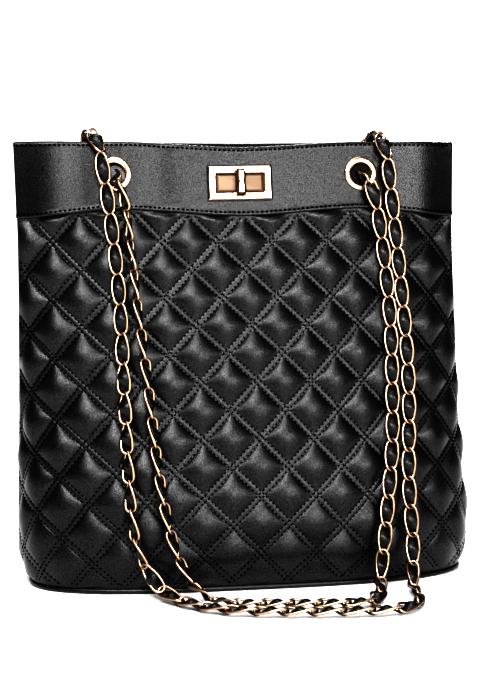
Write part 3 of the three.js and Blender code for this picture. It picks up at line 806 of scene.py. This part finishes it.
def quilted_panel(name, side, node):
    """The leather is meshed along its own grooves; behind it is a plain backing."""
    panel = Panel(side)
    half_cell = MESH_LINES / GROOVE_SPACING
    cell = np.concatenate([half_cell, 1 - half_cell[-2:0:-1]])
    a = np.concatenate([n + cell for n in range(-11, 8)])
    b = np.concatenate([n + cell for n in range(-8, 11)])
    grid_a, grid_b = np.meshgrid(a, b, indexing="ij")
    s, t = place_of(grid_a, grid_b)
    points, _, off = panel.skin(s, t)
    quads = np.array(grid_quads(len(a), len(b)))
    quads = quads[~off.ravel()[quads].all(axis=1)]
    used, quads = np.unique(quads, return_inverse=True)
    quads = quads.reshape(-1, 4)
    points = points.reshape(-1, 3)[used]
    f = np.linspace(-1, 1, 121)
    columns = np.round(np.linspace(0, PANEL_COLUMNS - 1, 121)).astype(int)
    rows = np.round(np.linspace(0, PANEL_ROWS - 1, 70)).astype(int)
    levels = panel.level[rows][:, columns]
    backing = on_wall(panel.wall, f[None], levels, np.full(levels.shape, -QUILT_THICK))[0]
    first = len(points)
    points = np.concatenate([points, backing.reshape(-1, 3)])
    faces = quads.tolist() + [tuple(first + v for v in face[::-1]) for face in grid_quads(*levels.shape)]
    piece = mesh_object(name, points, faces)
    dress(piece, leather, stands_for=[node])
    return panel


def stitches(name, places, directions, normals, length=2.2 * MM, radius=0.58 * MM):
    """Short curved lengths of thread, each with its ends in the leather."""
    across = np.cross(normals, directions)
    rings = [(-0.42, 0.75), (-0.2, 1.0), (0.2, 1.0), (0.42, 0.75)]
    template, faces = [(-0.5, 0, 0)], []
    around = 5
    for x, wide in rings:
        for k in range(around):
            turn = 2 * math.pi * k / around
            template.append((x, wide * math.cos(turn), wide * math.sin(turn)))
    template.append((0.5, 0, 0))
    last = len(template) - 1
    for k in range(around):
        k2 = (k + 1) % around
        faces.append((0, 1 + k2, 1 + k))
        for r in range(len(rings) - 1):
            low, high = 1 + r * around, 1 + (r + 1) * around
            faces.append((low + k, low + k2, high + k2, high + k))
        faces.append((last, last - around + k, last - around + k2))
    template = np.array(template)
    sink = radius * (0.25 - 5 * template[:, 0] ** 2)
    points = places[:, None] + directions[:, None] * (template[:, 0] * length)[None, :, None]
    points = points + across[:, None] * (template[:, 1] * radius)[None, :, None]
    points = points + normals[:, None] * (template[:, 2] * radius * 0.8 + sink)[None, :, None]
    count = len(places)
    all_faces = [tuple(v + i * len(template) for v in face) for i in range(count) for face in faces]
    return mesh_object(name, points.reshape(-1, 3), all_faces)


def thread_run(points, normals, pitch=STITCH_PITCH):
    """Places, directions and normals of the stitches along a line of points."""
    along = np.r_[0, np.cumsum(np.linalg.norm(np.diff(points, axis=0), axis=1))]
    at = np.arange(pitch / 2, along[-1] - pitch / 4, pitch)

    def read(values, where):
        return np.stack([np.interp(where, along, values[:, k]) for k in range(3)], axis=1)

    run = read(points, at + 0.8 * MM) - read(points, at - 0.8 * MM)
    run /= np.linalg.norm(run, axis=1, keepdims=True)
    up = read(normals, at)
    up -= run * (up * run).sum(1, keepdims=True)
    return read(points, at), run, up / np.linalg.norm(up, axis=1, keepdims=True)


def quilting_stitches(name, panel):
    """Two rows of stitches beside every groove, both ways."""
    runs = []
    across = np.arange(-11, 11, 0.01)
    for way in (0, 1):
        for line in range(-11, 11):
            for beside in (-STITCH_OFFSET, STITCH_OFFSET):
                fixed = np.full(len(across), line + beside / GROOVE_SPACING)
                s, t = place_of(fixed, across) if way == 0 else place_of(across, fixed)
                _, _, half, foot, off = panel.look_up(s, t)
                keep = ~off & (np.abs(s) < half - 3 * MM) & (t > foot + 1.5 * MM) & (t < -1 * MM)
                if keep.sum() > 20:
                    points, normals, _ = panel.skin(s[keep], t[keep])
                    runs.append(thread_run(points, normals))
    piece = stitches(name, *(np.concatenate(part) for part in zip(*runs)))
    dress(piece, thread)


# ---------- band, facing and rim ----------
BAND_COLUMNS = 321
FACING_SHARE = 0.87
HEM_FOLD = 2.3 * MM
RIM_FOLD = 2.6 * MM
SWELL = 2.8 * MM
HOLLOW = 1.2 * MM
HOLLOW_X = -58 * MM
EYELET_HOLE = 9 * MM


def band_section():
    """The band's leather as a loop of (level, depth), folded at the hem and at the rim."""
    hem, rim = HEM_Z, RIM_Z
    loop = [
        (hem + 0.9 * MM, 0.3), (hem + 0.3 * MM, 0.1), (hem, -0.45), (hem + 0.2 * MM, -1.1),
        (hem + 0.9 * MM, -1.5), (hem + 4 * MM, -1.6),
        (rim - 9 * MM, -1.5), (rim - 7.5 * MM, -2.9), (rim - 1.2 * MM, -3.0),
        (rim - 0.35 * MM, -2.6), (rim, -1.7), (rim - 0.2 * MM, -0.8), (rim - 0.9 * MM, -0.1),
    ]
    for level in np.linspace(rim - 1.8 * MM, hem + 1.6 * MM, 38):
        near_hem = smooth((hem + HEM_FOLD + 0.8 * MM - level) / (0.8 * MM))
        near_rim = smooth((level - rim + RIM_FOLD + 0.8 * MM) / (0.8 * MM))
        loop.append((level, 0.3 * near_hem + 0.15 * near_rim))
    return [(level, depth * MM) for level, depth in loop]


def eyelet_frames(side):
    places = (EYELET_LEFT_X, EYELET_RIGHT_X)
    return [frame_on(walls[side], x + lean_at(EYELET_Z), EYELET_Z) for x in places]


def open_holes(points, faces, frames, radius):
    """Moves the points inside each hole out to its edge, and drops the faces that covered it."""
    inside = np.zeros(len(points), bool)
    for frame_ in frames:
        local = (points - np.array(frame_.translation)) @ np.array(frame_.to_3x3())
        reach = np.hypot(local[:, 0], local[:, 1])
        hit = (reach < radius) & (np.abs(local[:, 2]) < 8 * MM)
        local[hit, :2] *= (radius / np.maximum(reach[hit], 1e-6))[:, None]
        points[hit] = local[hit] @ np.array(frame_.to_3x3()).T + np.array(frame_.translation)
        inside |= hit
    return points, [face for face in faces if not all(inside[v] for v in face)]


def band_swell(side, f):
    """How far the soft band stands out: rolled over towards the seams, with one shallow hollow in front."""
    x = f * RIM_HALF_WIDTH
    from_seam = RIM_HALF_WIDTH - np.abs(x)
    swell = SWELL * (smooth(from_seam / (26 * MM)) - smooth((from_seam - 26 * MM) / (24 * MM)))
    hollow = np.exp(-(((x - HOLLOW_X) / (10 * MM)) ** 2)) if side == FRONT else 0.0
    return swell - HOLLOW * hollow


def sheet_loop(name, side, loop, f, frames, swell=0.0):
    """A closed loop of (level, depth) rows swept across part of a wall, with its ends closed."""
    levels = np.array([level for level, _ in loop])[:, None] * np.ones((1, len(f)))
    depths = np.array([depth for _, depth in loop])[:, None] * np.ones((1, len(f))) + swell
    points, _ = on_wall(walls[side], np.broadcast_to(f[None], levels.shape), levels, depths)
    faces = grid_quads(len(loop), len(f), closed_rows=True)
    faces.append(tuple(i * len(f) for i in range(len(loop))))
    faces.append(tuple(i * len(f) + len(f) - 1 for i in reversed(range(len(loop)))))
    points, faces = open_holes(points.reshape(-1, 3), faces, frames, EYELET_HOLE)
    return face_outwards(mesh_object(name, points, faces))


def seam_stitches(name, side, levels, depth, f_limit):
    """Rows of stitches that run across a wall at each level."""
    f = np.linspace(-f_limit, f_limit, 900)
    depths = depth + band_swell(side, f)
    runs = [thread_run(*on_wall(walls[side], f, np.full(len(f), level), depths)) for level in levels]
    runs = [np.concatenate(part) for part in zip(*runs)]
    piece = stitches(name, *runs, length=3.1 * MM, radius=0.78 * MM)
    dress(piece, thread)


def band_and_facing(place, side):
    frames = eyelet_frames(side)
    f = np.linspace(-1, 1, BAND_COLUMNS)
    band = sheet_loop(place + "_band_leather", side, band_section(), f, frames, band_swell(side, f))
    dress(band, band_leather, stands_for=[place + "_band"])
    low, high = HEM_Z + 8.4 * MM, RIM_Z - 0.5 * MM
    loop = [(level, -3.15 * MM) for level in np.linspace(low, high - 0.3 * MM, 24)]
    loop += [(high, -3.4 * MM), (high, -3.8 * MM)]
    loop += [(level, -4.1 * MM) for level in np.linspace(high - 0.3 * MM, low, 24)]
    f = np.linspace(-FACING_SHARE, FACING_SHARE, 281)
    facing = sheet_loop(place + "_facing_leather", side, loop, f, frames)
    dress(facing, facing_leather, stands_for=[place + "_facing"])
    seams = [HEM_Z + HEM_FOLD, RIM_Z - RIM_FOLD]
    seam_stitches(place + "_band_stitches", side, seams, 0.1 * MM, 0.985)


# ---------- base and lining ----------


def whole_ring(level, depth, count=160, height=None):
    """A section all the way round the bag."""
    f = np.linspace(-0.995, 0.995, count)
    front = on_wall(walls[FRONT], f, np.full(count, level), np.full(count, -depth))[0]
    back = on_wall(walls[BACK], f[::-1], np.full(count, level), np.full(count, -depth))[0]
    ring = np.concatenate([front, back])
    if height is not None:
        ring[:, 2] = height
    return ring


def base_binding():
    """A bound edge round the foot, standing a little proud of the base sheet."""
    turns = np.linspace(0, 2 * math.pi, 15)[:-1]
    section_ = [(1.6 * math.cos(turn), 1.9 * math.sin(turn)) for turn in turns]
    rows = []
    for out_, up in section_:
        squared = abs(up / 1.9) ** 4
        rows.append(whole_ring(2 * MM, (1.6 - out_ * (1 - 0.12 * squared)) * MM, height=(2.05 + up) * MM))
    points = np.concatenate(rows)
    faces = grid_quads(len(rows), len(rows[0]), closed_rows=True, closed_columns=True)
    piece = face_outwards(mesh_object("foot_binding", points, faces))
    dress(piece, leather, stands_for=["base_piping"])


def base_sheet():
    edges = [(4.4, 2.0), (3.7, 1.7), (3.6, 0.9), (3.9, 0.25), (5.0, 0.0), (20, 0.0), (40, 0.0)]
    rows = [whole_ring(0, depth * MM, height=z * MM) for depth, z in [(40, 2.0), (20, 2.0), *edges]]
    faces = grid_quads(len(rows), len(rows[0]), closed_columns=True)
    count = len(rows[0])
    faces.append(tuple(range(count)))
    faces.append(tuple((len(rows) - 1) * count + j for j in reversed(range(count))))
    piece = face_outwards(mesh_object("base_leather", np.concatenate(rows), faces))
    dress(piece, leather, stands_for=["base_panel"])


LINING_FLOOR = 5.1 * MM
LINING_TOP = HEM_Z + 6 * MM


def lining_ring(level, depth, height=None):
    """A section pulled in from the wall and, higher up, from the side seams."""
    ring = whole_ring(level, depth)
    half_width, half_depth, p, q = profile_at(level)
    narrow = 12 * MM * float(smooth((level - 100 * MM) / (140 * MM)))
    lean = lean_at(level)
    ring[:, 0] = lean + (ring[:, 0] - lean) * (1 - narrow / (half_width - depth))
    reach = (1 - np.minimum(np.abs((ring[:, 0] - lean) / half_width), 1) ** p) ** (1 / q)
    room = SEAM_PLY + (half_depth - SEAM_PLY) * reach - depth - 0.3 * MM
    least = 0.4 * MM if depth > 6.5 * MM else 1.4 * MM
    ring[:, 1] = np.sign(ring[:, 1]) * np.maximum(np.minimum(np.abs(ring[:, 1]), room), least)
    if height is not None:
        ring[:, 2] = height
    return ring


def lining():
    levels = np.linspace(14 * MM, LINING_TOP, 90)
    rows = []
    for depth, floor in ((6.2 * MM, LINING_FLOOR), (7.0 * MM, LINING_FLOOR + 0.8 * MM)):
        side_rows = [lining_ring(6 * MM, depth, floor), lining_ring(9 * MM, depth, floor + 2.5 * MM)]
        side_rows += [lining_ring(level, depth) for level in levels]
        rows += side_rows if depth < 6.5 * MM else side_rows[::-1]
    count = len(rows[0])
    faces = grid_quads(len(rows), count, closed_columns=True)
    faces.append(tuple(reversed(range(count))))
    faces.append(tuple((len(rows) - 1) * count + j for j in range(count)))
    piece = face_outwards(mesh_object("lining_bag", np.concatenate(rows), faces))
    dress(piece, lining_cloth, stands_for=["lining"])


front_panel = quilted_panel("quilted_front", FRONT, "front_panel")
back_panel = quilted_panel("quilted_back", BACK, "back_panel")
quilting_stitches("quilting_front", front_panel)
quilting_stitches("quilting_back", back_panel)
band_and_facing("front", FRONT)
band_and_facing("back", BACK)
base_binding()
base_sheet()
lining()

# ---------- metal parts ----------


def rounded_rectangle(width, height, radius, z, corner_steps=6):
    """Points round a rectangle with round corners, anticlockwise."""
    radius = min(radius, width / 2 - 1e-5, height / 2 - 1e-5)
    points = []
    for quarter, (i, j) in enumerate([(1, 1), (-1, 1), (-1, -1), (1, -1)]):
        for k in range(corner_steps + 1):
            turn = math.pi / 2 * (quarter + k / corner_steps)
            x = i * (width / 2 - radius) + radius * math.cos(turn)
            y = j * (height / 2 - radius) + radius * math.sin(turn)
            points.append((x, y, z))
    return points


def stack_of_loops(name, loops, place, joined=False, sharp=30):
    """A metal piece skinned over loops with the same count of points, set in a frame on the bag."""
    count = len(loops[0])
    points = [place @ Vector([part * MM for part in point]) for loop in loops for point in loop]
    faces = grid_quads(len(loops), count, closed_rows=joined, closed_columns=True)
    if not joined:
        faces.append(tuple(reversed(range(count))))
        faces.append(tuple((len(loops) - 1) * count + j for j in range(count)))
    piece = face_outwards(mesh_object(name, points, faces))
    piece.data.set_sharp_from_angle(angle=math.radians(sharp))
    return piece


def turned(name, profile, place, steps=72, sharp=40):
    """A ring turned about the frame's local Z from a closed profile of (radius, height)."""
    loops = []
    for k in range(steps):
        turn = 2 * math.pi * k / steps
        loops.append([(radius * math.cos(turn), radius * math.sin(turn), z) for radius, z in profile])
    return stack_of_loops(name, loops, place, joined=True, sharp=sharp)


def lathe_solid(name, profile, place, steps=48):
    """A solid turned about local Z from a profile that starts and ends near the axis."""
    loops = []
    for radius, z in profile:
        ring = [2 * math.pi * k / steps for k in range(steps)]
        loops.append([(radius * math.cos(turn), radius * math.sin(turn), z) for turn in ring])
    return stack_of_loops(name, loops, place)


EYELET_PROFILE = [
    (7.6, -5.3), (8.2, -5.3), (8.2, 0.3), (11.6, 0.3), (11.95, 0.45), (12.05, 0.8),
    (11.9, 1.2), (11.5, 1.55), (10.9, 1.75), (10.0, 1.85), (9.1, 1.8), (8.4, 1.6),
    (7.9, 1.25), (7.65, 0.8), (7.6, 0.2), (7.6, -2.5),
]


def eyelets():
    for place, side in (("front", FRONT), ("back", BACK)):
        for hand, frame_ in zip(("left", "right"), eyelet_frames(side)):
            node = f"eyelet_{place}_{hand}"
            piece = turned(node + "_ring", EYELET_PROFILE, frame_)
            dress(piece, rose_gold, stands_for=[node])


def turn_lock():
    place = frame_on(walls[FRONT], LOCK_X + lean_at(LOCK_Z), LOCK_Z)
    frame_loops = [
        rounded_rectangle(46.4, 25.4, 1.0, 0.3),
        rounded_rectangle(46.4, 25.4, 1.0, 0.9),
        rounded_rectangle(46.2, 25.2, 0.9, 1.1),
        rounded_rectangle(43.2, 22.2, 0.7, 3.1),
        rounded_rectangle(42.9, 21.9, 0.6, 3.2),
        rounded_rectangle(36, 15, 1.2, 3.2),
        rounded_rectangle(35.2, 14.2, 1.0, 3.0),
        rounded_rectangle(33.0, 12.4, 0.6, 0.4),
    ]
    frame_piece = stack_of_loops("lock_plate", frame_loops, place, joined=True)
    dress(frame_piece, plate_gold, stands_for=["lock_frame"])
    block_loops = [
        rounded_rectangle(32.8, 12.2, 0.5, 0.3),
        rounded_rectangle(32.8, 12.2, 0.5, 0.5),
        rounded_rectangle(32.2, 11.6, 0.5, 0.75),
        rounded_rectangle(30.4, 9.8, 0.4, 1.35),
        rounded_rectangle(30.0, 9.4, 0.3, 1.4),
    ]
    block = stack_of_loops("lock_window_block", block_loops, place)
    dress(block, shaded_brushed_gold, stands_for=["lock_block"])
    bar = turn_bar(place)
    dress(bar, rose_gold, body="turn_bar", stands_for=["turn_bar"])


def turn_bar(place):
    """The bar: a tall loaf with sloping flanks and ends, and a notched waist, on a round spindle."""
    section_ = [
        (-3.6, 3.4), (-3.75, 3.8), (-3.65, 6.4), (-2.0, 9.6), (-1.6, 9.9),
        (1.6, 9.9), (2.0, 9.6), (3.65, 6.4), (3.75, 3.8), (3.6, 3.4),
    ]
    loops = []
    half_rows = [0.5, 1.4, 2, 3, 5, 7.4, 8.2, 9.3, 9.7, 9.8]
    for y in [-row for row in reversed(half_rows)] + [0] + half_rows:
        end = min(1, max(0, (9.8 - abs(y)) / 2.4)) ** 0.6
        waist = 1 - 0.45 * math.exp(-((y / 1.5) ** 2))
        loop = []
        for x, z in section_:
            high = 3.4 + (z - 3.4) * (0.35 + 0.65 * end)
            narrow = 0.8 + 0.2 * end
            front = (z - 3.4) / 6.5
            loop.append((x * narrow * (1 - front * (1 - waist)), y, high))
        loops.append(loop)
    bar = stack_of_loops("turn_bar_loaf", loops, place, sharp=35)
    spindle = lathe_solid("spindle", [(0.2, 0.45), (2, 0.45), (2, 3.6), (0.2, 3.6)], place, steps=24)
    with bpy.context.temp_override(active_object=bar, selected_editable_objects=[bar, spindle]):
        bpy.ops.object.join()
    return bar


ZIP_LENGTH = 120
ZIP_TEETH = 75
TAPE_HALF_LENGTH = 68
ZIP_FACE = 10.0


def zip_frame():
    """The zip lies on the back lining: local Z looks into the bag and local X runs along the zip."""
    outwards = frame_on(walls[BACK], lean_at(215 * MM), 215 * MM)
    x_axis, y_axis, z_axis = (outwards.to_3x3().col[k].copy() for k in range(3))
    matrix = Matrix([-x_axis, y_axis, -z_axis]).transposed().to_4x4()
    matrix.translation = outwards.translation
    return matrix


def inner_zip():
    place = zip_frame()
    for hand, way in (("upper", 1), ("lower", -1)):
        low, high = sorted((way * 2.3, way * 13.3))
        rows = []
        for z, inset in ((0.0, 0.2), (0.2, 0), (0.6, 0), (0.8, 0.2)):
            reach = [x * (TAPE_HALF_LENGTH - inset) for x in (-1, -0.5, 0, 0.5, 1)]
            under = [(x, low + inset, ZIP_FACE + z) for x in reach]
            rows.append(under + [(x, high - inset, ZIP_FACE + z) for x in reversed(reach)])
        tape = stack_of_loops("zip_tape_" + hand + "_cloth", rows, place)
        dress(tape, lining_cloth, stands_for=["zip_tape_" + hand])
    points, faces = [], []
    for i in range(ZIP_TEETH):
        way = 1 if i % 2 else -1
        x = -ZIP_LENGTH / 2 + (i + 0.5) * ZIP_LENGTH / ZIP_TEETH
        outline = [(0.62, -1.1), (0.62, 1.1), (-0.62, 1.1), (-0.62, -1.1)]
        first = len(points)
        for z, shrink in ((0.35, 0.85), (0.55, 1), (1.9, 1), (2.1, 0.8)):
            for dx, dy in outline:
                local = Vector((x + dx * shrink, way * 0.75 + dy * shrink, ZIP_FACE - 0.4 + z)) * MM
                points.append(place @ local)
        faces += [tuple(first + v for v in face) for face in grid_quads(4, 4, closed_columns=True)]
        faces += [(first + 3, first + 2, first + 1, first), (first + 12, first + 13, first + 14, first + 15)]
    teeth = face_outwards(mesh_object("zip_teeth_row", points, faces, shade_smooth=False))
    dress(teeth, rose_gold, stands_for=["zip_teeth"])


def pocket_bag():
    """Two plies of thin cloth behind the zip, between the lining and the back panel."""
    f = np.linspace(-0.55, 0.55, 121)
    levels = np.linspace(120 * MM, 223 * MM, 60)
    ripple = 0.25 * MM * np.sin(levels / (9 * MM))
    loop = list(zip(levels, -4.15 * MM + ripple)) + list(zip(levels[::-1], -5.05 * MM + ripple[::-1]))
    piece = sheet_loop("pocket_cloth", BACK, loop, f, [])
    dress(piece, lining_cloth, stands_for=["zip_pocket_bag"])


def dress_cad_nodes():
    """Small metal parts keep their CAD shape, with the scene's own materials."""
    looks = {"base_board": board}
    steel_nodes = ["lock_clip", "lock_backing_plate"]
    for place in ("front", "back"):
        steel_nodes += [f"snap_washer_{place}", f"eyelet_washer_{place}_left", f"eyelet_washer_{place}_right"]
    for node in steel_nodes:
        looks[node] = plated_steel
    for node in ["zip_stop_left", "zip_stop_right", "zip_slider", "zip_pull", "snap_socket", "snap_stud"]:
        looks[node] = rose_gold
    for node, look in looks.items():
        for material_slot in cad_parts[node].material_slots:
            material_slot.material = look


plate_gold = metal_material("plate rose gold", (0.86, 0.7, 0.56), 0.16, 0.24)
# Painted shade: a much darker copy of the rose gold, for the window block set back in the lock plate.
shaded_brushed_gold = metal_material("shaded brushed rose gold", (0.125, 0.088, 0.062), 0.5, 0.58, brushed=(0.1, 1, 1))
eyelets()
turn_lock()
inner_zip()
pocket_bag()
dress_cad_nodes()
